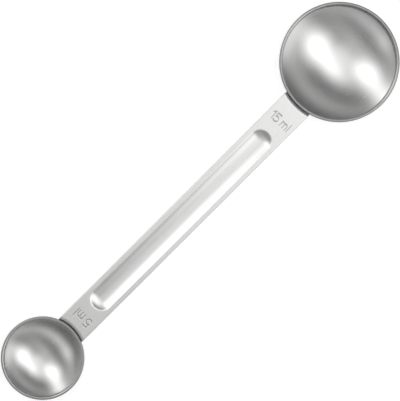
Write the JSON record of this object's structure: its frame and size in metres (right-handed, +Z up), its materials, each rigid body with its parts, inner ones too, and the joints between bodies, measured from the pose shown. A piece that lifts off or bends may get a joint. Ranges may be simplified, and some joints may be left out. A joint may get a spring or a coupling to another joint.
{
  "type": "measuring spoon",
  "caption": "Double-ended kitchen measuring spoon: a large and a small round steel bowl spot-welded to one strip handle with a long pressed bead.",
  "frame": {"origin": "under the middle of the spoon's length, level with the lowest point of the large bowl", "axes": "+X along the handle from the small bowl to the large bowl, +Z up out of the bowls' mouths, both rims level"},
  "size_m": [0.2006, 0.0464, 0.0145],
  "materials": {
    "bowl_steel": "satin, drawn and lightly brushed",
    "handle_steel": "satin, brushed along the handle",
    "weld_steel": "fused steel inside the joint"
  },
  "bodies": {
    "root": {"large_bowl": "bowl_steel", "small_bowl": "bowl_steel", "handle": "handle_steel", "large_bowl_welds": "weld_steel", "small_bowl_welds": "weld_steel"}
  },
  "joints": []
}
